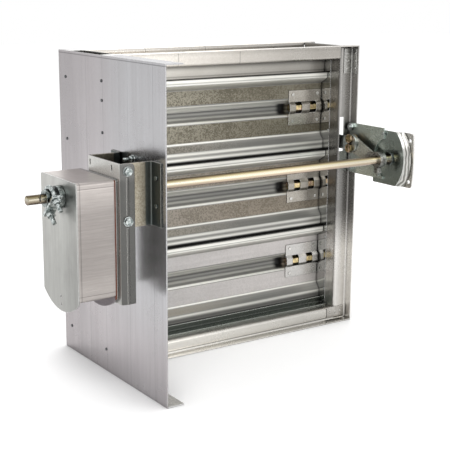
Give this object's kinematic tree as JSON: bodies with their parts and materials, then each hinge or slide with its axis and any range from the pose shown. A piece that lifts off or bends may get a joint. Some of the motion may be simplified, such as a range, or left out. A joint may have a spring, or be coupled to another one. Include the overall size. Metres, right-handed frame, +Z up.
{
  "type": "smoke damper",
  "caption": "Rectangular duct smoke damper with parallel groove blades in a hat-channel frame, turned together by a cross shaft, drive linkage and side-mounted actuator on a long sideplate.",
  "frame": {"origin": "on the underside, in the middle of the frame's width and depth, at the centre of the sill's fixing holes", "axes": "+X along the blade axles from the actuator side to the linkage side, +Y from the shaft side (front) to the rear of the frame, +Z up"},
  "size_m": [0.6227, 0.305, 0.4572],
  "materials": {
    "galvanised": "galvanised sheet with a fine speckle and faint rolling streaks",
    "dark_galvanised": "galvanised plate reflecting a dark grey-green",
    "stainless": "bright stainless strip",
    "silicone": "matte grey silicone",
    "bearing": "matte dark moulded bearing",
    "case": "matte aluminium with fine brushing",
    "gasket": "red-brown fibre sheet",
    "zinc": "bright zinc plate",
    "gold_zinc": "yellow chromate zinc, slightly iridescent",
    "black_wire": "black coated wire"
  },
  "bodies": {
    "frame": {"left_jamb": "galvanised", "right_jamb": "galvanised", "sill_rail": "galvanised", "head_rail": "galvanised", "lower_gussets": "galvanised", "upper_gussets": "galvanised", "head_stop": "galvanised", "sill_stop": "galvanised", "sill_seal": "silicone", "left_jamb_seal": "stainless", "right_jamb_seal": "stainless", "axle_bushes": "bearing", "sideplate": "galvanised", "sideplate_rivets": "zinc", "front_mount_angle": "galvanised", "rear_mount_angle": "galvanised", "mount_screws": "zinc", "actuator_channel": "galvanised", "channel_bolts": "zinc", "actuator_base": "case", "actuator_gasket": "gasket", "actuator_case": "case", "actuator_face": "case", "motor": "case", "spring_drum": "zinc", "sideplate_bearing": "bearing", "bracket_bearing": "bearing", "bracket_arm": "dark_galvanised", "bearing_plate": "dark_galvanised", "bracket_fasteners": "zinc"},
    "jackshaft": {"jackshaft": "gold_zinc", "output_hub": "zinc", "clamp_bolt": "zinc", "clamp_jaw": "zinc", "clamp_nuts": "zinc", "pointer_clip": "black_wire", "drive_gear": "zinc", "shaft_crank": "zinc", "crank_set_screw": "zinc"},
    "linkage": {"tie_bar": "galvanised", "drive_link": "galvanised", "link_bolts": "gold_zinc"},
    "blade_1": {"blade_1": "galvanised", "blade_1_seal": "silicone", "blade_1_axles": "gold_zinc", "blade_1_axle_plates": "galvanised", "blade_1_rivets": "zinc", "blade_1_crank": "zinc"},
    "blade_2": {"blade_2": "galvanised", "blade_2_seal": "silicone", "blade_2_axles": "gold_zinc", "blade_2_axle_plates": "galvanised", "blade_2_rivets": "zinc", "blade_2_crank": "zinc"},
    "blade_3": {"blade_3": "galvanised", "blade_3_seal": "silicone", "blade_3_axles": "gold_zinc", "blade_3_axle_plates": "galvanised", "blade_3_rivets": "zinc", "blade_3_crank": "zinc"}
  },
  "joints": [
    {"name": "shaft_turn", "type": "hinge", "parent": "frame", "child": "jackshaft", "pos_m": [0, -0.1435, 0.286], "axis": [1, 0, 0], "range_deg": [0, 90], "stiffness_Nm_per_rad": 1.5, "springref_deg": -20.05},
    {"name": "blade_1_turn", "type": "hinge", "parent": "frame", "child": "blade_1", "pos_m": [0, 0, 0.3566], "axis": [1, 0, 0], "range_deg": [0, 90]},
    {"name": "blade_2_turn", "type": "hinge", "parent": "frame", "child": "blade_2", "pos_m": [0, 0, 0.2286], "axis": [1, 0, 0], "range_deg": [0, 90]},
    {"name": "blade_3_turn", "type": "hinge", "parent": "frame", "child": "blade_3", "pos_m": [0, 0, 0.1006], "axis": [1, 0, 0], "range_deg": [0, 90]},
    {"name": "linkage_pivot", "type": "hinge", "parent": "jackshaft", "child": "linkage", "pos_m": [0.2145, -0.1181, 0.286], "axis": [1, 0, 0], "range_deg": [-90, 0]}
  ],
  "couplings": [
    {"joint": "blade_1_turn", "follows": "shaft_turn", "ratio": 1},
    {"joint": "blade_2_turn", "follows": "shaft_turn", "ratio": 1},
    {"joint": "blade_3_turn", "follows": "shaft_turn", "ratio": 1},
    {"joint": "linkage_pivot", "follows": "shaft_turn", "ratio": -1}
  ]
}
